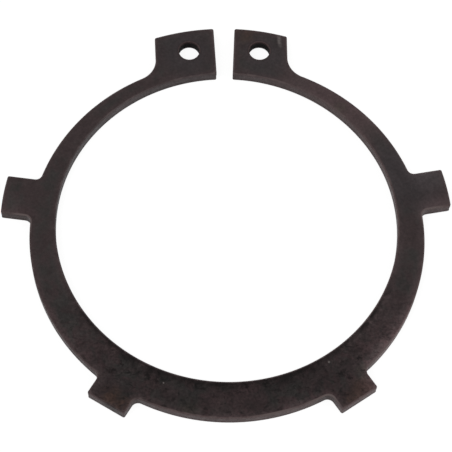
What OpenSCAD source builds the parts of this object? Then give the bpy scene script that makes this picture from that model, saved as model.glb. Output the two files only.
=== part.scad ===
// External circlip: a flat open spring-steel retaining ring with two drilled lugs at its gap
// and four locating tabs, blanked from strip and finished with all of its edges broken.
// Lengths are in mm. The bore axis is Z, the lower face lies on Z = 0, and the middle line of the
// ring and its tabs is +Y. The gap opens beside that line, and its holes keep to the gap.

/* [Ring] */
// bore diameter of the relaxed ring
bore_d = 55.8; // [40:0.1:80]
// strip thickness
thickness = 2; // [1.2:0.1:3]
// radial width opposite the gap, where the ring is widest
width_back = 6.1; // [4.6:0.1:7]
// radial width beside the lugs, where the ring is narrowest
width_front = 2.3; // [1.6:0.1:3]
// how far the lugs and the tabs stand out from the bore
tip_reach = 9; // [8.4:0.1:12]

/* [Lugs] */
// width across the back corners of both lugs
lugs_w = 22.6; // [20:0.1:26]
// lean of the back face of a lug from the ring's middle line
lug_lean = 1.2; // [0:0.1:6]
// radius that carries the back face of a lug into the ring
lug_root_r = 4; // [3:0.1:6]

/* [Gap and plier holes] */
// angle from the ring's middle line to the middle of the gap
gap_bearing = 0.9; // [-2:0.1:2]
// gap between the lugs, at the bore
gap_w = 2.7; // [1.5:0.1:4]
// lean of each gap face from the middle of the gap
gap_lean = 2.9; // [0:0.1:5]
// diameter of the holes for the plier tips
hole_d = 3.5; // [2.5:0.1:4.4]
// distance from the bore to the hole centres
hole_setback = 5.1; // [4:0.1:6]
// distance from a gap face to the hole centre
hole_inset = 4.4; // [3:0.1:5.5]

/* [Tabs] */
// width of the tabs
tab_w = 6.8; // [5:0.1:9]
// angle from the ring's middle line to a side tab
side_angle = 81.1; // [70:0.1:95]
// angle from the ring's middle line to a lower tab
lower_angle = 147.4; // [135:0.1:158]
// radius at the roots of the tabs
tab_root_r = 1.1; // [0.5:0.1:1.5]

/* [Edges and corners] */
// radius on the corners of the lugs and tabs
corner_r = 0.3; // [0.2:0.05:0.6]
// edge broken off round the upper face
edge_top = 0.16; // [0.05:0.01:0.3]
// edge broken off round the lower face
edge_bottom = 0.08; // [0.05:0.01:0.3]

/* [Hidden] */
$fn = 180;
bore_r = bore_d / 2;
bore_xy = [0, 0];
ring_r = bore_r + (width_back + width_front) / 2;
ring_xy = [0, -(width_back - width_front) / 2];
tip_r = bore_r + tip_reach;
// how far cutters run past what they cut
over = 0.5;
// how far a web reaches into the solids that it joins
bite = 0.8;
// how far a rounding crosses the faces that it joins
lap = 0.002;

// Bearings are measured from +Y, the middle line of the ring, towards +X.
function along(bearing) = [sin(bearing), cos(bearing)];
function across(bearing) = [cos(bearing), -sin(bearing)];

// Unit vector from p to q.
function towards(p, q) = (q - p) / norm(q - p);

// Last point at which the line from p along the unit vector d meets a circle.
function meet(p, d, centre, r) =
    let (q = p - centre, b = q * d)
    p + d * (sqrt(b * b - q * q + r * r) - b);

// Four corners around an arc that is tangent to faces lying along u1 and u2 from its centre.
function kite(centre, reach, u1, u2) = [
    centre,
    centre + reach * u1,
    centre + reach * (u1 + u2) / (1 + u1 * u2),
    centre + reach * u2
];

// Where the faces of the right-hand lug start; the gap's are taken from the middle of the gap.
back_corner = [lugs_w / 2, sqrt(tip_r * tip_r - lugs_w * lugs_w / 4)];
gap_corner = [gap_w / 2, sqrt(bore_r * bore_r - gap_w * gap_w / 4)];
gap_length = tip_reach + 3 * over;
gap_mouth = gap_corner + (gap_length - 2 * over) * along(gap_lean);
hole_xy = meet(
    gap_corner + hole_inset * across(gap_lean),
    along(gap_lean),
    bore_xy,
    bore_r + hole_setback
);

// Upright section of a solid with broken edges, from u = start out to u = reach.
module solid_section(start, reach) {
    polygon([
        [start, 0],
        [reach - edge_bottom, 0],
        [reach, edge_bottom],
        [reach, thickness - edge_top],
        [reach - edge_top, thickness],
        [start, thickness]
    ]);
}

// Upright section of a cutter that leaves a broken edge at u = reach.
module cutter_section(start, reach) {
    polygon([
        [start, -over],
        [reach + edge_bottom + over, -over],
        [reach, edge_bottom],
        [reach, thickness - edge_top],
        [reach + edge_top + over, thickness + over],
        [start, thickness + over]
    ]);
}

// Round plate with broken edges.
module plate(r) {
    rotate_extrude()
        solid_section(0, r);
}

// Round cutter that leaves broken edges.
module round_cutter(r) {
    rotate_extrude()
        cutter_section(0, r);
}

// Runs a section along the given bearing, from a point in plan.
module run(from, bearing, length) {
    translate(from)
        rotate(-bearing)
            rotate([90, 0, 0])
                translate([0, 0, -length])
                    linear_extrude(length)
                        children();
}

// The same thing on both sides of the middle line.
module both_sides() {
    children();
    mirror([1, 0, 0])
        children();
}

// The same thing on both sides of the middle of the gap.
module both_gap_sides() {
    rotate(-gap_bearing)
        both_sides()
            children();
}

// Fills the root between the ring and a straight face; the face lies along u from the centre.
module root_web(centre, r, u) {
    linear_extrude(thickness)
        polygon(kite(centre, r + bite, towards(centre, ring_xy), u));
}

// Rounds a filled root.
module root_cutter(centre, r) {
    translate(centre)
        round_cutter(r + lap);
}

// What lies outside a rounded corner; its faces lie along u1 and u2 from the centre.
module corner_waste(centre, r, u1, u2) {
    difference() {
        translate([0, 0, -over])
            linear_extrude(thickness + 2 * over)
                polygon(kite(centre, r + over, u1, u2));
        translate([centre[0], centre[1], -2 * over])
            cylinder(h = thickness + 4 * over, r = r + lap);
    }
}

// Flat plate whose straight edge crosses a bearing at the tips' circle.
module straight_tip(bearing) {
    run((tab_w / 2 + over) * across(bearing), bearing - 90, tab_w + 2 * over)
        solid_section(0, tip_r);
}

// Tab along a bearing with filled roots; its child gives the shape of its tip.
module tab(bearing) {
    intersection() {
        children();
        union() {
            run(bore_xy, bearing, tip_r + over)
                solid_section(0, tab_w / 2);
            run(bore_xy, bearing, tip_r + over)
                mirror([1, 0])
                    solid_section(0, tab_w / 2);
        }
    }
    for (side = [-1, 1])
        root_web(tab_root_xy(bearing, side), tab_root_r, -side * across(bearing));
}

// Centre of the root on one side of a tab.
function tab_root_xy(bearing, side) =
    let (start = side * (tab_w / 2 + tab_root_r) * across(bearing))
    meet(start, along(bearing), ring_xy, ring_r + tab_root_r);

// Rounds the roots of a tab.
module tab_root_cutters(bearing) {
    for (side = [-1, 1])
        root_cutter(tab_root_xy(bearing, side), tab_root_r);
}

// Waste at the two corners of a curved tip.
module curved_tip_waste(bearing) {
    for (side = [-1, 1]) {
        start = side * (tab_w / 2 - corner_r) * across(bearing);
        centre = meet(start, along(bearing), bore_xy, tip_r - corner_r);
        corner_waste(centre, corner_r, side * across(bearing), towards(bore_xy, centre));
    }
}

// Waste at the two corners of a straight tip.
module straight_tip_waste(bearing) {
    for (side = [-1, 1]) {
        start = side * (tab_w / 2 - corner_r) * across(bearing);
        centre = start + (tip_r - corner_r) * along(bearing);
        corner_waste(centre, corner_r, side * across(bearing), along(bearing));
    }
}

// Right-hand lug before the gap is cut.
module lug() {
    intersection() {
        plate(tip_r);
        run(back_corner - (tip_reach + over) * along(lug_lean), lug_lean, 2 * tip_reach)
            solid_section(-lugs_w / 2, 0);
    }
}

// Centre of the rounded root at the back of the lug.
lug_root_xy = meet(
    back_corner + lug_root_r * across(lug_lean),
    along(lug_lean),
    ring_xy,
    ring_r + lug_root_r
);

// Cutter for the gap: it flares towards both faces of the strip, and its middle is a plain wedge.
module gap_cutter() {
    both_gap_sides()
        run(gap_corner - over * along(gap_lean), gap_lean, gap_length)
            cutter_section(-gap_w / 2, 0);
    rotate(-gap_bearing)
        translate([0, 0, -over])
            linear_extrude(thickness + 2 * over)
                polygon([[0, bore_r - over], gap_mouth, [-gap_mouth[0], gap_mouth[1]]]);
}

// Waste at the back corner of the lug.
module back_corner_waste() {
    start = back_corner - corner_r * across(lug_lean);
    centre = meet(start, along(lug_lean), bore_xy, tip_r - corner_r);
    corner_waste(centre, corner_r, across(lug_lean), towards(bore_xy, centre));
}

// Waste at both ends of a gap face.
module gap_corner_waste() {
    start = gap_corner + corner_r * across(gap_lean);
    outer = meet(start, along(gap_lean), bore_xy, tip_r - corner_r);
    corner_waste(outer, corner_r, -across(gap_lean), towards(bore_xy, outer));

    inner = meet(start, along(gap_lean), bore_xy, bore_r + corner_r);
    corner_waste(inner, corner_r, -across(gap_lean), towards(inner, bore_xy));
}

// The blank without its openings.
module blank() {
    translate(ring_xy)
        plate(ring_r);
    both_sides() {
        lug();
        root_web(lug_root_xy, lug_root_r, -across(lug_lean));
        tab(side_angle)
            plate(tip_r);
        tab(lower_angle)
            straight_tip(lower_angle);
    }
}

// The whole ring, in one piece.
module retaining_ring() {
    color([0.2, 0.18, 0.18])
        difference() {
            blank();
            round_cutter(bore_r);
            gap_cutter();
            both_gap_sides() {
                translate(hole_xy)
                    round_cutter(hole_d / 2);
                gap_corner_waste();
            }
            both_sides() {
                root_cutter(lug_root_xy, lug_root_r);
                back_corner_waste();
                tab_root_cutters(side_angle);
                tab_root_cutters(lower_angle);
                curved_tip_waste(side_angle);
                straight_tip_waste(lower_angle);
            }
        }
}

retaining_ring();
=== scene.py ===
"""A circlip retaining ring of dark phosphated spring steel, on a plain white floor."""
import math

import bpy
import numpy as np
from mathutils import Matrix, Vector, noise
from mathutils.geometry import delaunay_2d_cdt


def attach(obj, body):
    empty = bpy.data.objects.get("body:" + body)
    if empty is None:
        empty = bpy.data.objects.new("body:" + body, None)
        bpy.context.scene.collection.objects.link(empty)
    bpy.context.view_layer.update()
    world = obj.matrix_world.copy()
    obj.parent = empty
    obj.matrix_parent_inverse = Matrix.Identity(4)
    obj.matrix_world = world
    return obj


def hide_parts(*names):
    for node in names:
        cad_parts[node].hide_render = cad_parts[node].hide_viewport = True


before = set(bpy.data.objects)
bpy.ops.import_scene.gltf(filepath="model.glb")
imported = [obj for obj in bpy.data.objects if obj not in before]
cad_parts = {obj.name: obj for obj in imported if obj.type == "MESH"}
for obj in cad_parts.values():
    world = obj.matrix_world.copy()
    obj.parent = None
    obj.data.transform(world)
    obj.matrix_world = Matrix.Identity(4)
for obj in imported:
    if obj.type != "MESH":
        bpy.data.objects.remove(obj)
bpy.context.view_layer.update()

# One millimetre in metres. Lengths are in mm and angles in degrees where no comment says otherwise.
MM = 0.001

# Sizes of the ring, the same as in the part's source
BORE_R = 27.9
THICK = 2.0
WIDTH_BACK = 6.1
WIDTH_FRONT = 2.3
TIP_REACH = 9.0
LUGS_W = 22.6
LUG_LEAN = 1.2
LUG_ROOT_R = 4.0
GAP_BEARING = 0.9
GAP_W = 2.7
GAP_LEAN = 2.9
HOLE_R = 1.75
HOLE_SETBACK = 5.1
HOLE_INSET = 4.4
TAB_W = 6.8
SIDE_ANGLE = 81.1
LOWER_ANGLE = 147.4
TAB_ROOT_R = 1.1
CORNER_R = 0.3

TIP_R = BORE_R + TIP_REACH
RING_R = BORE_R + (WIDTH_BACK + WIDTH_FRONT) / 2
RING_C = np.array([0.0, -(WIDTH_BACK - WIDTH_FRONT) / 2])
BORE_C = np.zeros(2)
# Where a face of the gap meets the bore, from the middle of the gap
GAP_X = GAP_W / 2
GAP_Y = math.sqrt(BORE_R ** 2 - GAP_X ** 2)

# Cut edges of the outline and of the holes: how far the upper edge rolls in and down, how far the
# lower edge is broken, and the share of the torn band that shows
OUTLINE_EDGE = (0.18, 0.16, 0.08)
OUTLINE_TEAR = 1.0
HOLE_EDGE = (0.06, 0.06, 0.05)
HOLE_TEAR = 0.3
# Rows of points up a cut edge: on its broken edge, at these heights, and on its rolled edge
BROKEN_ROWS = 4
WALL_ROWS = (0.3, 0.55, 0.8, 1.0, 1.15, 1.3, 1.55)
ROLL_ROWS = 8
# The torn band: how high it reaches, over what height it fades in and out, its depth, and how much
# coarse and fine roughness changes that, with the scale of each along x, y and z
TORN_TOP = 1.15
TORN_FADE = 0.2
TORN_DEPTH = 0.035
TORN_COARSE = 0.012
TORN_FINE = 0.01
COARSE_SCALE = (0.9, 0.9, 1.5)
FINE_SCALE = (4.0, 4.0, 4.0)

# Points closer than this are one point
CLOSE = 1e-4
# Distances between points on lines, arcs and the flat faces, turns between points on arcs, and the
# number of points round a hole
LINE_STEP = 0.4
ARC_STEP = 0.28
ARC_TURN = 9.0
LUG_ROOT_TURN = 4.0
HOLE_POINTS = 96
FACE_PITCH = 0.55
# How far the grid on the flat faces stays from the cut edges
FACE_MARGIN = OUTLINE_EDGE[0] + 0.3
TRIANGULATION_EPSILON = 1e-7
# The rim attribute is the distance from the cut edge, up to this
RIM_REACH = 3.0


# Outline
def along(bearing):
    """Unit vector at a bearing, measured from +Y towards +X."""
    turn = math.radians(bearing)
    return np.array([math.sin(turn), math.cos(turn)])


def across(bearing):
    """Unit vector a quarter turn clockwise from a bearing."""
    turn = math.radians(bearing)
    return np.array([math.cos(turn), -math.sin(turn)])


def unit(vector):
    return vector / np.linalg.norm(vector)


def meet(start, direction, centre, radius):
    """Last point at which a line meets a circle."""
    offset = start - centre
    b = offset @ direction
    return start + direction * (math.sqrt(b * b - offset @ offset + radius * radius) - b)


class Path:
    """Points of an outline, each with the unit vector that points out of the steel."""

    def __init__(self):
        self.points = []
        self.normals = []

    def add(self, point, normal):
        if self.points and np.linalg.norm(self.points[-1] - point) < CLOSE:
            return
        self.points.append(point)
        self.normals.append(normal)

    def line(self, end, normal):
        start = self.points[-1]
        count = max(1, round(np.linalg.norm(end - start) / LINE_STEP))
        for i in range(1, count + 1):
            self.add(start + (end - start) * i / count, normal)

    def arc(self, centre, end, solid_inside, largest_turn=ARC_TURN):
        """Arc about a centre from the last point to the end, the short way round."""
        start = self.points[-1]
        radius = np.linalg.norm(end - centre)
        first = math.atan2(*(start - centre)[::-1])
        last = math.atan2(*(end - centre)[::-1])
        turn = (last - first + math.pi) % (2 * math.pi) - math.pi
        steps = max(abs(turn) * radius / ARC_STEP, math.degrees(abs(turn)) / largest_turn)
        count = max(1, round(steps))
        for i in range(1, count + 1):
            angle = first + turn * i / count
            outward = np.array([math.cos(angle), math.sin(angle)])
            self.add(centre + radius * outward, outward if solid_inside else -outward)


def run_round_tab(path, bearing, straight):
    """Takes the outline round a tab, from its clockwise side to the other."""
    out, right = along(bearing), across(bearing)
    for side in (1, -1):
        root = meet(side * (TAB_W / 2 + TAB_ROOT_R) * right, out, RING_C, RING_R + TAB_ROOT_R)
        on_ring = RING_C + RING_R * unit(root - RING_C)
        on_face = root - side * TAB_ROOT_R * right
        start = side * (TAB_W / 2 - CORNER_R) * right
        if straight:
            corner = start + (TIP_R - CORNER_R) * out
            on_tip = corner + CORNER_R * out
        else:
            corner = meet(start, out, BORE_C, TIP_R - CORNER_R)
            on_tip = TIP_R * unit(corner)
        face_end = corner + side * CORNER_R * right
        if side == 1:
            path.arc(RING_C, on_ring, True)
            path.arc(root, on_face, False)
            path.line(face_end, right)
            path.arc(corner, on_tip, True)
        else:
            if straight:
                path.line(on_tip, out)
            else:
                path.arc(BORE_C, on_tip, True)
            path.arc(corner, face_end, True)
            path.line(on_face, -right)
            path.arc(root, on_ring, False)


def run_up_lug(path):
    """Takes the outline from the ring up the back of the lug and onto the tips' circle."""
    back_corner = np.array([LUGS_W / 2, math.sqrt(TIP_R ** 2 - LUGS_W ** 2 / 4)])
    out, right = along(LUG_LEAN), across(LUG_LEAN)
    root = meet(back_corner + LUG_ROOT_R * right, out, RING_C, RING_R + LUG_ROOT_R)
    path.arc(RING_C, RING_C + RING_R * unit(root - RING_C), True)
    path.arc(root, root - LUG_ROOT_R * right, False, LUG_ROOT_TURN)
    corner = meet(back_corner - CORNER_R * right, out, BORE_C, TIP_R - CORNER_R)
    path.line(corner + CORNER_R * right, right)
    path.arc(corner, TIP_R * unit(corner), True)


def run_down_gap(path, gap_bearing):
    """Takes the outline along the tips' circle and down a face of the gap to the bore."""
    gap_corner = GAP_X * across(gap_bearing) + GAP_Y * along(gap_bearing)
    out, right = along(gap_bearing + GAP_LEAN), across(gap_bearing + GAP_LEAN)
    corner = meet(gap_corner + CORNER_R * right, out, BORE_C, TIP_R - CORNER_R)
    path.arc(BORE_C, TIP_R * unit(corner), True)
    path.arc(corner, corner - CORNER_R * right, True)
    corner = meet(gap_corner + CORNER_R * right, out, BORE_C, BORE_R + CORNER_R)
    path.line(corner - CORNER_R * right, -right)
    path.arc(corner, BORE_R * unit(corner), True)


def half_outline(gap_bearing):
    """Outline of the right-hand half, from the back round to the gap and down the bore."""
    path = Path()
    path.add(RING_C + np.array([0.0, -RING_R]), np.array([0.0, -1.0]))
    run_round_tab(path, LOWER_ANGLE, True)
    run_round_tab(path, SIDE_ANGLE, False)
    run_up_lug(path)
    run_down_gap(path, gap_bearing)
    # two arcs, because an arc takes the short way round
    path.arc(BORE_C, BORE_R * along(95.0), False)
    path.arc(BORE_C, BORE_R * along(180.0), False)
    return np.array(path.points), np.array(path.normals)


def outline():
    """The whole outline: the right-hand half, and the left-hand one mirrored and reversed."""
    points, normals = half_outline(GAP_BEARING)
    left_points, left_normals = half_outline(-GAP_BEARING)
    mirrored = np.array([-1.0, 1.0])
    return (
        np.vstack([points, (left_points * mirrored)[::-1][1:-1]]),
        np.vstack([normals, (left_normals * mirrored)[::-1][1:-1]]),
    )


def hole_centre(side):
    """Centre of the plier hole to the right (1) or left (-1) of the gap."""
    start = np.array([GAP_X, GAP_Y]) + HOLE_INSET * across(GAP_LEAN)
    x, y = meet(start, along(GAP_LEAN), BORE_C, BORE_R + HOLE_SETBACK)
    return side * x * across(GAP_BEARING) + y * along(GAP_BEARING)


def hole(side):
    angles = np.linspace(0, -2 * math.pi, HOLE_POINTS, endpoint=False)
    outward = np.c_[np.cos(angles), np.sin(angles)]
    return hole_centre(side) + HOLE_R * outward, -outward


# Mesh
def section(roll_in, roll_down, broken):
    """Inset and height of each row up a cut edge."""
    lower = [
        (broken * (1 - math.sin(turn)), broken * (1 - math.cos(turn)))
        for turn in np.linspace(0, math.pi / 2, BROKEN_ROWS)
    ]
    upper = [
        (roll_in * (1 - math.cos(turn)), THICK - roll_down * (1 - math.sin(turn)))
        for turn in np.linspace(0, math.pi / 2, ROLL_ROWS)
    ]
    return lower + [(0.0, z) for z in WALL_ROWS] + upper


def noise_at(point, z, scales):
    return noise.noise(Vector([c * scale for c, scale in zip((*point, z), scales)]))


def torn(point, z):
    """How far the torn lower band of a cut edge lies behind the sheared band above it."""
    band = min(1.0, max(0.0, (TORN_TOP - z) / TORN_FADE)) * min(1.0, z / TORN_FADE)
    coarse = TORN_COARSE * noise_at(point, z, COARSE_SCALE)
    fine = TORN_FINE * noise_at(point, z, FINE_SCALE)
    return band * (TORN_DEPTH + coarse + fine)


def inside(points, loops):
    """Whether each point lies inside the outer loop and outside the others."""
    hit = np.zeros(len(points), bool)
    batch = 4000
    for loop in loops:
        a, b = loop, np.roll(loop, -1, 0)
        for first in range(0, len(points), batch):
            p = points[first:first + batch]
            crosses = (a[None, :, 1] > p[:, 1:2]) != (b[None, :, 1] > p[:, 1:2])
            with np.errstate(divide="ignore", invalid="ignore"):
                share = (p[:, 1:2] - a[:, 1]) / (b[:, 1] - a[:, 1])
                x = a[:, 0] + share * (b[:, 0] - a[:, 0])
            hit[first:first + batch] ^= (np.sum(crosses & (p[:, 0:1] < x), 1) % 2).astype(bool)
    return hit


def nearest(points, targets):
    """Distance from each point to the nearest target."""
    distance = np.empty(len(points))
    batch = 2000
    for first in range(0, len(points), batch):
        offset = points[first:first + batch, None] - targets[None]
        distance[first:first + batch] = np.sqrt((offset ** 2).sum(2)).min(1)
    return distance


def add_wall(verts, faces, loop, edge, tear):
    """Adds a cut edge. Returns its lowest and highest rows, each as first vertex and count."""
    points, normals = loop
    count = len(points)
    starts = []
    for inset, z in section(*edge):
        starts.append(len(verts))
        for point, normal in zip(points, normals):
            x, y = point - normal * (inset + tear * torn(point, z))
            verts.append((x, y, z))
    for low, high in zip(starts, starts[1:]):
        for i in range(count):
            j = (i + 1) % count
            faces.append((low + i, low + j, high + j, high + i))
    return (starts[0], count), (starts[-1], count)


def face_grid(loops):
    """Points of an even triangular grid on the flat faces, clear of the cut edges."""
    low, high = loops[0].min(0), loops[0].max(0)
    xs = np.arange(low[0], high[0], FACE_PITCH)
    ys = np.arange(low[1], high[1], FACE_PITCH * math.sqrt(3) / 2)
    grid = np.array([(x + row % 2 * FACE_PITCH / 2, y) for row, y in enumerate(ys) for x in xs])
    grid = grid[inside(grid, loops)]
    return grid[nearest(grid, np.vstack(loops)) > FACE_MARGIN]


def add_face(verts, faces, rows, grid, z, upward):
    """Adds a flat face between rows of the cut edges, with the grid's points in it."""
    points, index, edges = [], [], []
    for start, count in rows:
        first = len(points)
        for i in range(count):
            points.append(Vector(verts[start + i][:2]))
            index.append(start + i)
            edges.append((first + i, first + (i + 1) % count))
    for x, y in grid:
        points.append(Vector((x, y)))
        index.append(len(verts))
        verts.append((x, y, z))
    result = delaunay_2d_cdt(points, edges, [], 0, TRIANGULATION_EPSILON)
    source = [origins[0] if origins else -1 for origins in result[3]]
    triangles = np.array([[source[i] for i in triangle] for triangle in result[2]])
    triangles = triangles[triangles.min(1) >= 0]
    flat = np.array([tuple(point) for point in points])
    loops = [np.array(verts[start:start + count])[:, :2] for start, count in rows]
    for triangle in triangles[inside(flat[triangles].mean(1), loops)]:
        a, b, c = flat[triangle]
        anticlockwise = (b[0] - a[0]) * (c[1] - a[1]) - (b[1] - a[1]) * (c[0] - a[0]) > 0
        corners = [index[i] for i in triangle]
        faces.append(corners if anticlockwise == upward else corners[::-1])


def build_ring():
    walls = (
        (outline(), OUTLINE_EDGE, OUTLINE_TEAR),
        (hole(1), HOLE_EDGE, HOLE_TEAR),
        (hole(-1), HOLE_EDGE, HOLE_TEAR),
    )
    verts, faces, lower, upper = [], [], [], []
    for loop, edge, tear in walls:
        lowest, highest = add_wall(verts, faces, loop, edge, tear)
        lower.append(lowest)
        upper.append(highest)
    loops = [loop[0] for loop, edge, tear in walls]
    grid = face_grid(loops)
    add_face(verts, faces, lower, grid, 0.0, False)
    add_face(verts, faces, upper, grid, THICK, True)

    mesh = bpy.data.meshes.new("ring_steel")
    mesh.from_pydata([tuple(c * MM for c in vert) for vert in verts], [], faces)
    mesh.validate()
    rim = mesh.attributes.new("rim", "FLOAT", "POINT")
    distance = np.minimum(nearest(np.array(verts)[:, :2], np.vstack(loops)), RIM_REACH)
    rim.data.foreach_set("value", distance.astype(np.float32))
    for polygon in mesh.polygons:
        polygon.use_smooth = True
    mesh.update()
    ring = bpy.data.objects.new("ring_steel", mesh)
    bpy.context.scene.collection.objects.link(ring)
    return ring


# Materials
class Nodes:
    """A node material. Its helpers add nodes and return the socket that holds their result."""

    def __init__(self, name):
        self.material = bpy.data.materials.new(name)
        self.material.use_nodes = True
        self.tree = self.material.node_tree
        self.tree.nodes.clear()

    def new(self, kind, **values):
        """A node, with values for its sockets or its properties."""
        node = self.tree.nodes.new(kind)
        for name, value in values.items():
            if name in node.inputs:
                node.inputs[name].default_value = value
            else:
                setattr(node, name, value)
        return node

    def link(self, source, target):
        self.tree.links.new(source, target)

    def feed(self, node, socket, value):
        """Gives a socket a plain value or another socket's result."""
        if isinstance(value, (int, float, tuple)):
            node.inputs[socket].default_value = value
        else:
            self.link(value, node.inputs[socket])

    def math(self, kind, a, b=0.0, clamp=False):
        node = self.new("ShaderNodeMath", operation=kind, use_clamp=clamp)
        self.feed(node, 0, a)
        self.feed(node, 1, b)
        return node.outputs[0]

    def add(self, a, b, clamp=False):
        return self.math("ADD", a, b, clamp)

    def less(self, a, b):
        return self.math("SUBTRACT", a, b)

    def by(self, a, b):
        return self.math("MULTIPLY", a, b)

    def most(self, a, b):
        return self.math("MAXIMUM", a, b)

    def raised(self, value, share):
        """The value plus a share of itself."""
        return self.by(value, self.add(1.0, share))

    def lowered(self, value, share):
        """The value less a share of itself."""
        return self.by(value, self.less(1.0, share))

    def smooth(self, value, start, end, low=0.0, high=1.0):
        """Turns smoothly from low to high while the value goes from start to end."""
        node = self.new("ShaderNodeMapRange", interpolation_type="SMOOTHSTEP")
        self.feed(node, "Value", value)
        self.feed(node, "From Min", start)
        self.feed(node, "From Max", end)
        self.feed(node, "To Min", low)
        self.feed(node, "To Max", high)
        return node.outputs[0]

    def noise(self, where, scale, detail, stretch, distortion):
        mapping = self.new("ShaderNodeMapping", Scale=stretch)
        self.link(where, mapping.inputs["Vector"])
        node = self.new(
            "ShaderNodeTexNoise", Scale=scale, Detail=detail, Roughness=0.6, Distortion=distortion
        )
        self.link(mapping.outputs[0], node.inputs["Vector"])
        return node.outputs["Fac"]

    def blend(self, amount, a, b):
        """Mixes two colours."""
        node = self.new("ShaderNodeMix", data_type="RGBA")
        factor, colour_a, colour_b = 0, 6, 7
        self.feed(node, factor, amount)
        self.feed(node, colour_a, a)
        self.feed(node, colour_b, b)
        return node.outputs[2]

    def times(self, colour, factor):
        """Scales a colour or a vector."""
        node = self.new("ShaderNodeVectorMath", operation="SCALE")
        self.link(colour, node.inputs[0])
        self.feed(node, "Scale", factor)
        return node.outputs[0]


# Colours of the coating: grey and brown, and the tints that change it in places
GREY = (0.0298, 0.0263, 0.0252, 1)
BROWN = (0.0372, 0.0250, 0.0257, 1)
COOL = (0.0309, 0.0258, 0.0270, 1)
OLIVE = (0.0326, 0.0275, 0.0226, 1)
MAROON = (0.0400, 0.0247, 0.0257, 1)
RUST = (0.0455, 0.0265, 0.0210, 1)
# Colours of the cut edges, of the painted highlight on rolled edges, of the painted shade in the
# holes and of bright marks
CUT_GREY = (0.0520, 0.0404, 0.0416, 1)
CUT_PINK = (0.0520, 0.0345, 0.0346, 1)
ROLL_HIGHLIGHT = (0.105, 0.080, 0.078, 1)
HOLE_SHADE_COLOUR = (0.005, 0.004, 0.004, 1)
BRIGHT = (0.16, 0.14, 0.135, 1)

# Noise over the surface: scale per mm, detail, stretch along the axes, and distortion
EVEN = (1.0, 1.0, 1.0)
PATTERNS = {
    "clouds": (0.11, 3.0, EVEN, 0.0),
    "patches": (0.4, 3.0, EVEN, 0.6),
    "maroon": (0.36, 4.0, EVEN, 1.0),
    "mottle": (0.6, 4.0, EVEN, 0.8),
    "blotches": (0.75, 5.0, (0.75, 1.0, 1.0), 1.2),
    "flecks": (1.5, 2.0, (0.6, 1.0, 1.0), 0.5),
    "grain": (2.4, 4.0, EVEN, 0.0),
    "streaks": (2.5, 3.0, (1.0, 1.0, 0.25), 0.0),
}

# Where changes over the steel start and end, by distance from the cut edge
BROWN_RIM = (0.2, 1.6)
SHEEN_RIM = (0.15, 1.8)
HOLE_SHADE_RIM = (0.05, 0.5)
CUT_RIM = (0.1, 0.26)
ROLLED_RIM = (0.18, 0.34)
HOLE_SHADE_EDGE = (0.06, 0.16)
GAP_SHADE_RIM = (0.02, 0.12)
# The same by height
SHEARED_Z = (0.7, 1.5)
ROLLED_Z = (THICK - 0.26, THICK - 0.1)
HOLE_SHADE_DEPTH = (1.9, 1.2)
# The same from the front of the ring to its back
LIGHTER_Y = (5.0, 24.0)
DARKER_Y = (-3.0, -34.0)
SHEEN_Y = (0.0, -16.0)
BACK_Y = (-6.0, -24.0)
BORE_BAND_Y = (-6.0, -18.0)
WIDER_BORE_BAND_Y = (-16.0, -27.0)
LIGHTER_CUT_Y = (-18.0, -31.0)
GAP_SHADE_Y = (BORE_R, BORE_R + 0.5)
# The same from left to right
SHEEN_X = (-10.0, 28.0)
PINK_CUT_X = (-20.0, 26.0)
LIGHTER_CUT_X = (-25.0, 36.0)
# The same by distance from the centre of a hole, and of the bore
HOLE_ZONE = (HOLE_R + 0.6, HOLE_R + 0.9)
OUTER_CUT_R = (BORE_R + 0.3, BORE_R + 0.8)
# The darker band along the bore thins out from the first radius to one between the others
BORE_BAND_R = BORE_R + 0.1
BORE_BAND_END_R = (BORE_R + 1.4, BORE_R + 2.2)
# Middle of the gap on the lugs, and how far its painted shade reaches to both sides
GAP_MIDDLE_X = 0.5
GAP_SHADE_X = (2.2, 2.8)

# How much light the steel reflects as it is, and its bumps
SPECULAR = 0.12
BUMP_STRENGTH = 0.35
BUMP_DEPTH = 0.03

# The lists below place spots one by one. Each row starts with x, y, the radius up to which the spot
# is full, and the radius at which it ends.
BROWN_PLACES = (
    (20, 23, 4, 14),
    (34, 3, 1, 6),
    (-33, 1.5, 1, 4),
)
# Places of another tint, with its amount: cooler on the lugs and beside the right tab, rusty on the
# lower tabs and at a corner of a lug, olive and maroon in spots
TINTED_PLACES = (
    (-6.0, 32.0, 2.0, 6.5, 0.8, COOL),
    (7.5, 31.0, 1.5, 5.5, 0.8, COOL),
    (30.0, 8.5, 3.0, 9.5, 0.9, COOL),
    (19.7, 21.0, 0.2, 1.8, 0.6, OLIVE),
    (4.2, 35.6, 0.3, 2.6, 0.6, RUST),
    (-19.0, -30.0, 0.4, 2.6, 1.0, RUST),
    (-17.2, -31.3, 0.4, 2.2, 0.9, RUST),
    (20.4, -29.4, 0.6, 2.6, 0.9, RUST),
    (18.6, -31.4, 0.4, 2.2, 0.8, RUST),
    (20.6, -26.8, 0.3, 1.8, 0.8, OLIVE),
    (1.5, -29.5, 0.5, 3.5, 0.7, MAROON),
    (-3.5, -31.0, 0.5, 2.8, 0.7, MAROON),
    (-7.0, -32.6, 0.3, 2.4, 0.6, OLIVE),
    (21.5, -29.0, 0.4, 3.4, 0.5, MAROON),
)
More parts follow.
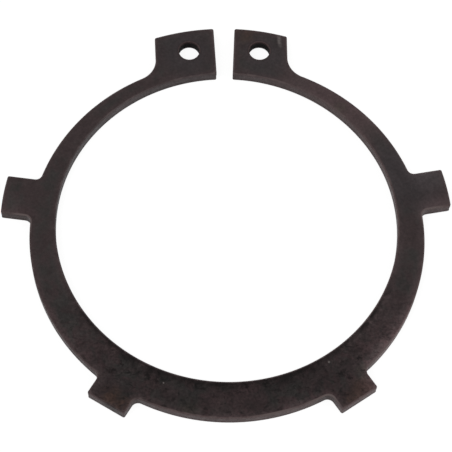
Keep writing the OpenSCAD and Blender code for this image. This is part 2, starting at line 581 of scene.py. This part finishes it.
# Lighter and darker parts of the flat faces, with the share that is added
FACE_TONES = (
    (18, 24, 3, 14, 0.42),
    (29, 11, 1, 9, 0.14),
    (34.8, 1.0, 0, 5, 0.85),
    (34, 8.3, 0.5, 5, 0.5),
    (24.4, 18.4, 1, 5, 0.2),
    (-35.5, 3, 0, 4, 0.4),
    (28.5, -21, 1, 8, 0.5),
    (24, -23.5, 0.5, 4, 0.7),
    (21.2, -27.4, 0.5, 3.6, 0.6),
    (20.8, -24, 0.5, 3, 0.15),
    (16.5, -22.6, 0.5, 3, 0.35),
    (10, -32.5, 0.5, 4.5, 0.4),
    (-1, -33.5, 0, 5, 0.25),
    (-26, -21.5, 0.5, 5, 0.32),
    (-20, -27.5, 1, 6, 0.1),
    (13, -27, 0, 4, -0.12),
    (7.5, -27, 0.3, 3.5, -0.35),
)
# The same for the cut edges
CUT_TONES = (
    (26.5, -20, 2, 9, 0.9),
    (28.5, -11, 0.5, 6, 0.25),
    (22.5, -29.5, 0.5, 3, 0.2),
    (-27.7, -18.4, 1, 5, 0.2),
    (-16.5, 22, 1, 7, 0.35),
    (-19.2, -31.7, 0.5, 3.2, -0.65),
    (-16.6, -32.7, 0.2, 1.6, 0.3),
    (-14.4, -31, 0.5, 3, -0.25),
    (-31, 0, 1, 4, -0.32),
    (15.2, -31, 0.5, 3.2, -0.5),
)
DARK_SPOTS = (
    (-18.7, -25.7, 0.2, 0.75),
    (-17.3, -24.5, 0.1, 0.5),
    (-13.2, -26.7, 0.2, 0.8),
    (-12.0, -27.6, 0.1, 0.7),
    (-16.3, -26.0, 0.1, 0.5),
    (20.1, -24.2, 0.1, 0.6),
    (17.2, -26.9, 0.2, 0.9),
    (18.3, -27.6, 0.1, 0.7),
    (5.2, -28.4, 0.2, 0.7),
    (2.2, -28.6, 0.1, 0.6),
)
# Where the painted highlight on the rolled edge is stronger, with the amount
ROLL_HIGHLIGHT_PLACES = (
    (33.5, 0.8, 1.5, 3.2, 1.0),
    (-33.5, 0.2, 1.5, 3.2, 1.0),
    (14.0, -30.5, 1.5, 5.0, 1.0),
    (24.0, -24.0, 1.5, 5.0, 1.0),
    (7.0, -33.5, 1.5, 4.5, 1.0),
    (1.9, 30.0, 1.0, 2.4, 0.45),
    (2.1, 33.0, 1.0, 2.4, 0.45),
)
SPECKS = (
    (-10.8, -27.9, 0.02, 0.2),
    (15.3, -24.9, 0.02, 0.26),
)
# The rub mark: its place, a point on its line with the slope of x over y, and its half width
RUB_PLACE = (9.9, 34.5, 0.6, 2.0)
RUB_LINE_X = 10.0
RUB_LINE_Y = 34.0
RUB_SLOPE = -0.12
RUB_WIDTH = (0.02, 0.5)


class Steel(Nodes):
    """Dark phosphated and oiled spring steel, painted in the ring's own space."""

    def __init__(self):
        super().__init__("phosphated_steel")
        self.where = self.times(self.new("ShaderNodeTexCoord").outputs["Object"], 1 / MM)
        axes = self.new("ShaderNodeSeparateXYZ")
        self.link(self.where, axes.inputs[0])
        self.x, self.y, self.z = axes.outputs
        self.rim = self.new("ShaderNodeAttribute", attribute_name="rim").outputs["Fac"]
        squares = self.add(self.by(self.x, self.x), self.by(self.y, self.y))
        self.radius = self.math("SQRT", squares)
        self.pattern = {name: self.noise(self.where, *row) for name, row in PATTERNS.items()}
        # value one on the wide back of the ring, which is darker and more worn by handling
        self.back = self.smooth(self.y, *BACK_Y)
        self.holes = self.round_holes()
        self.bore_band = self.dark_band_at_bore()
        self.cut = self.smooth(self.rim, *CUT_RIM, 1.0, 0.0)
        # Painted highlight on the rolled upper edge
        self.roll_highlight = self.painted_roll_highlight()
        # Painted shade on the walls of the plier holes
        self.hole_wall_shade = self.by(self.holes, self.smooth(self.rim, *HOLE_SHADE_EDGE, 1.0, 0.0))

        shader = self.new("ShaderNodeBsdfPrincipled", **{"Specular IOR Level": SPECULAR})
        self.link(self.colour(), shader.inputs["Base Color"])
        self.link(self.roughness(), shader.inputs["Roughness"])
        self.link(self.relief(), shader.inputs["Normal"])
        output = self.new("ShaderNodeOutputMaterial")
        self.link(shader.outputs[0], output.inputs["Surface"])

    def spot(self, x, y, inner, outer, uneven=0.0):
        """Value one near a point of the upper face, falling to nought at the outer radius."""
        node = self.new("ShaderNodeVectorMath", operation="DISTANCE")
        self.link(self.where, node.inputs[0])
        node.inputs[1].default_value = (x, y, THICK)
        return self.smooth(self.add(node.outputs["Value"], uneven), inner, outer, 1.0, 0.0)

    def uneven(self, name, amount):
        """A pattern around nought, made stronger or weaker."""
        return self.by(self.less(self.pattern[name], 0.5), amount)

    def round_holes(self):
        """Value one in the plier holes and round them."""
        holes = 0.0
        for side in (1, -1):
            x, y = hole_centre(side)
            holes = self.most(holes, self.spot(float(x), float(y), *HOLE_ZONE))
        return holes

    def dark_band_at_bore(self):
        """A darker band along the lower half of the bore, with a ragged end."""
        ragged = self.add(self.radius, self.uneven("mottle", 2.5))
        reach = self.smooth(self.y, *WIDER_BORE_BAND_Y, *BORE_BAND_END_R)
        near_bore = self.smooth(ragged, BORE_BAND_R, reach, 1.0, 0.0)
        return self.by(near_bore, self.smooth(self.y, *BORE_BAND_Y))

    def painted_roll_highlight(self):
        """Painted highlight on the rolled upper edge, here and there, but not in the holes."""
        amount = self.smooth(self.pattern["mottle"], 0.45, 0.62, 0.1, 0.5)
        for *place, share in ROLL_HIGHLIGHT_PLACES:
            amount = self.most(amount, self.by(self.spot(*place), share))
        near_edge = self.smooth(self.rim, *ROLLED_RIM, 1.0, 0.0)
        near_top = self.smooth(self.z, *ROLLED_Z)
        return self.lowered(self.by(amount, self.by(near_edge, near_top)), self.holes)

    def coating(self):
        """Colour of the coating: grey with brown patches, and tinted in places."""
        clouds, patches = self.pattern["clouds"], self.pattern["patches"]
        mixed = self.add(self.by(clouds, 0.6), self.by(patches, 0.4))
        brown = self.smooth(mixed, 0.43, 0.57, 0.0, 0.8)
        for place in BROWN_PLACES:
            brown = self.most(brown, self.spot(*place))
        near_edge = self.smooth(self.rim, *BROWN_RIM, 0.9, 0.0)
        colour = self.blend(self.most(brown, near_edge), GREY, BROWN)

        maroon = self.smooth(self.pattern["maroon"], 0.46, 0.6, 0.0, 0.75)
        colour = self.blend(self.by(maroon, self.back), colour, MAROON)
        broken = self.smooth(self.pattern["mottle"], 0.36, 0.56, 0.25, 1.0)
        for *place, amount, tint in TINTED_PLACES:
            amount = self.by(self.spot(*place), amount)
            if tint != COOL:
                amount = self.by(amount, broken)
            colour = self.blend(amount, colour, tint)
        return colour

    def face_tone(self):
        """How light the coating is."""
        darker_back = self.smooth(self.y, *DARKER_Y, 1.035, 0.675)
        lighter_front = self.smooth(self.y, *LIGHTER_Y, 1.0, 1.05)
        tone = self.by(darker_back, lighter_front)
        for *place, share in FACE_TONES:
            tone = self.raised(tone, self.by(self.spot(*place), share))
        mottling = self.smooth(self.back, 0.0, 1.0, 0.7, 1.25)
        tone = self.raised(tone, self.uneven("mottle", mottling))
        graininess = self.smooth(self.back, 0.0, 1.0, 0.85, 1.6)
        tone = self.raised(tone, self.uneven("grain", graininess))
        # Painted highlight towards the rim, and painted shade round the holes
        tone = self.raised(tone, self.rim_sheen_and_hole_shade())
        tone = self.lowered(tone, self.darkened())
        return self.lowered(tone, self.by(self.bore_band, 0.72))

    def rim_sheen_and_hole_shade(self):
        """Painted highlight towards the rim, most of all on the wide back and on the right, and
        painted shade round the holes."""
        near_edge = self.smooth(self.rim, *SHEEN_RIM, 1.0, 0.0)
        amount = self.by(near_edge, self.smooth(self.y, *SHEEN_Y, 0.1, 0.5))
        amount = self.by(amount, self.smooth(self.x, *SHEEN_X, 0.85, 1.45))
        hole_shade = self.smooth(self.rim, *HOLE_SHADE_RIM, 0.45, 0.0)
        return self.less(amount, self.by(self.holes, hole_shade))

    def darkened(self):
        """Dark blotches, flecks and spots on the wide back of the ring."""
        blotches = self.smooth(self.pattern["blotches"], 0.54, 0.66, 0.0, 0.36)
        flecks = self.smooth(self.pattern["flecks"], 0.59, 0.68, 0.0, 0.45)
        dark = self.most(self.by(blotches, self.back), self.by(flecks, self.back))
        ragged = self.uneven("grain", 1.6)
        for place in DARK_SPOTS:
            dark = self.most(dark, self.by(self.spot(*place, ragged), 0.6))
        return dark

    def cut_colour(self):
        """Colour of the cut edges: a sheared upper band over a darker torn band, with painted light
        making the walls on the wide back and on the right lighter.
        """
        right_side = self.smooth(self.x, *PINK_CUT_X)
        outside = self.smooth(self.radius, *OUTER_CUT_R)
        colour = self.blend(self.most(right_side, outside), CUT_GREY, CUT_PINK)
        colour = self.times(colour, self.smooth(self.z, *SHEARED_Z, 0.91, 1.0))
        colour = self.times(colour, self.smooth(self.pattern["streaks"], 0.25, 0.75, 0.8, 1.2))
        # Painted light: the cut edges on the right and on the wide back are lighter
        colour = self.times(colour, self.smooth(self.x, *LIGHTER_CUT_X, 0.92, 1.35))
        colour = self.times(colour, self.smooth(self.y, *LIGHTER_CUT_Y, 1.0, 1.3))
        for *place, share in CUT_TONES:
            colour = self.times(colour, self.add(1.0, self.by(self.spot(*place), share)))
        return colour

    def gap_shade(self):
        """Painted shade on the faces of the gap."""
        from_middle = self.math("ABSOLUTE", self.less(self.x, GAP_MIDDLE_X))
        in_gap = self.smooth(from_middle, *GAP_SHADE_X, 1.0, 0.0)
        past_bore = self.smooth(self.y, *GAP_SHADE_Y)
        on_face = self.smooth(self.rim, *GAP_SHADE_RIM, 0.7, 0.0)
        return self.by(self.by(in_gap, past_bore), on_face)

    def bright_marks(self):
        """Two bright specks on the back, and a slanted rub mark on the right lug."""
        first, second = (self.spot(*place) for place in SPECKS)
        specks = self.by(self.most(first, second), 0.8)
        line = self.add(RUB_LINE_X, self.by(self.less(self.y, RUB_LINE_Y), RUB_SLOPE))
        from_line = self.math("ABSOLUTE", self.less(self.x, line))
        rub = self.by(self.smooth(from_line, *RUB_WIDTH, 0.65, 0.0), self.spot(*RUB_PLACE))
        rub = self.by(rub, self.smooth(self.pattern["grain"], 0.4, 0.6, 0.5, 1.0))
        return self.most(specks, rub)

    def colour(self):
        colour = self.times(self.coating(), self.face_tone())
        colour = self.blend(self.cut, colour, self.cut_colour())
        # Painted shade on the faces of the gap
        colour = self.times(colour, self.less(1.0, self.gap_shade()))
        # Painted highlight on the rolled upper edge
        colour = self.blend(self.roll_highlight, colour, ROLL_HIGHLIGHT)
        # Painted shade in the plier holes, darkest deep down
        deep = self.smooth(self.z, *HOLE_SHADE_DEPTH)
        colour = self.blend(self.by(self.hole_wall_shade, deep), colour, HOLE_SHADE_COLOUR)
        return self.blend(self.bright_marks(), colour, BRIGHT)

    def roughness(self):
        """Smoother on the highlighted rolled edge, rougher on the shaded hole walls and in the
        darker band along the bore.
        """
        rough = self.smooth(self.pattern["mottle"], 0.3, 0.7, 0.46, 0.6)
        rough = self.less(rough, self.by(self.roll_highlight, 0.1))
        dull = self.most(self.hole_wall_shade, self.by(self.bore_band, 0.6))
        return self.add(rough, self.by(dull, 0.35), clamp=True)

    def relief(self):
        """A fine grain on the faces, and upright scores on the cut edges."""
        grain, mottle = self.pattern["grain"], self.pattern["mottle"]
        height = self.add(self.by(grain, 0.5), self.by(mottle, 0.5))
        scores = self.by(self.by(self.pattern["streaks"], self.cut), 1.5)
        bump = self.new("ShaderNodeBump", Strength=BUMP_STRENGTH, Distance=BUMP_DEPTH * MM)
        self.link(self.add(height, scores), bump.inputs["Height"])
        return bump.outputs[0]


# Floor
WHITE = (1, 1, 1, 1)
# Half its side and how far it lies below the ring, in metres
FLOOR_HALF = 3.0
FLOOR_DROP = 0.00002
# Its colour where it lights the ring; where it is seen, its colour and the strength of its glow
FLOOR_LIGHTING = (0.8, 0.8, 0.8, 1)
FLOOR_SEEN = (0.16, 0.16, 0.16, 1)
FLOOR_GLOW = 0.9


def floor_material():
    """Plain white: the camera and reflections see a white ground that takes a faint shadow."""
    nodes = Nodes("white_floor")
    lighting = nodes.new("ShaderNodeBsdfDiffuse", Color=FLOOR_LIGHTING)
    shadowed = nodes.new("ShaderNodeBsdfDiffuse", Color=FLOOR_SEEN)
    glow = nodes.new("ShaderNodeEmission", Color=WHITE, Strength=FLOOR_GLOW)
    seen = nodes.new("ShaderNodeAddShader")
    nodes.link(shadowed.outputs[0], seen.inputs[0])
    nodes.link(glow.outputs[0], seen.inputs[1])
    ray = nodes.new("ShaderNodeLightPath").outputs
    straight = nodes.add(ray["Is Camera Ray"], ray["Is Glossy Ray"])
    straight = nodes.add(straight, ray["Is Transmission Ray"], clamp=True)
    mix = nodes.new("ShaderNodeMixShader")
    nodes.link(straight, mix.inputs[0])
    nodes.link(lighting.outputs[0], mix.inputs[1])
    nodes.link(seen.outputs[0], mix.inputs[2])
    output = nodes.new("ShaderNodeOutputMaterial")
    nodes.link(mix.outputs[0], output.inputs["Surface"])
    return nodes.material


def build_floor():
    signs = ((-1, -1), (1, -1), (1, 1), (-1, 1))
    corners = [(x * FLOOR_HALF, y * FLOOR_HALF, 0) for x, y in signs]
    mesh = bpy.data.meshes.new("floor")
    mesh.from_pydata(corners, [], [(0, 1, 2, 3)])
    mesh.materials.append(floor_material())
    floor = bpy.data.objects.new("floor", mesh)
    floor.location.z = -FLOOR_DROP
    bpy.context.scene.collection.objects.link(floor)
    return floor


# Light
# A white world and two soft lamps, with their places in metres and their strengths in watts
WORLD_STRENGTH = 0.58
LAMP_SIZE = 0.5
LAMPS = {
    "key": ((-0.45, -0.35, 0.7), 2.45),
    "fill": ((0.6, -0.1, 0.5), 1.2),
}


def build_world():
    world = bpy.data.worlds.new("studio")
    world.use_nodes = True
    background = world.node_tree.nodes["Background"]
    background.inputs["Color"].default_value = WHITE
    background.inputs["Strength"].default_value = WORLD_STRENGTH
    bpy.context.scene.world = world


def build_lamp(name, place, watts):
    """A square area lamp that faces the middle of the ring."""
    light = bpy.data.lights.new(name, "AREA")
    light.shape = "SQUARE"
    light.size = LAMP_SIZE
    light.energy = watts
    lamp = bpy.data.objects.new(name, light)
    lamp.location = place
    lamp.rotation_euler = (-Vector(place)).to_track_quat("-Z", "Y").to_euler()
    bpy.context.scene.collection.objects.link(lamp)


# Camera
# It fits the outline in the photograph. Its angles are in radians, its distance, aim and sensor in
# mm, its focal length in pixels of a picture of this width, and the start of its view in metres.
AZIMUTH = math.radians(-4.781)
ELEVATION = math.radians(63.904)
ROLL = math.radians(3.397)
DISTANCE = 312.79
AIM = Vector((-0.212, -0.783, THICK))
FOCAL_PIXELS = 1922.2
PICTURE_PIXELS = 452
SENSOR_W = 36
CLIP_START = 0.01


def build_camera():
    backward = Vector((
        math.sin(AZIMUTH) * math.cos(ELEVATION),
        -math.cos(AZIMUTH) * math.cos(ELEVATION),
        math.sin(ELEVATION),
    ))
    level = (-backward).cross(Vector((0, 0, 1))).normalized()
    upright = level.cross(-backward)
    right = level * math.cos(ROLL) + upright * math.sin(ROLL)
    up = upright * math.cos(ROLL) - level * math.sin(ROLL)
    lens = bpy.data.cameras.new("camera")
    lens.sensor_width = SENSOR_W
    lens.lens = FOCAL_PIXELS / PICTURE_PIXELS * SENSOR_W
    lens.clip_start = CLIP_START
    camera = bpy.data.objects.new("camera", lens)
    turn = Matrix((right, up, backward)).transposed().to_4x4()
    camera.matrix_world = Matrix.Translation((AIM + backward * DISTANCE) * MM) @ turn
    bpy.context.scene.collection.objects.link(camera)
    return camera


# Scene
ring = build_ring()
ring.data.materials.append(Steel().material)
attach(ring, "root")
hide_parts("retaining_ring")

floor = build_floor()

build_world()
for name, (place, watts) in LAMPS.items():
    build_lamp(name, place, watts)

bpy.context.scene.camera = build_camera()
bpy.context.scene.view_settings.view_transform = "Standard"
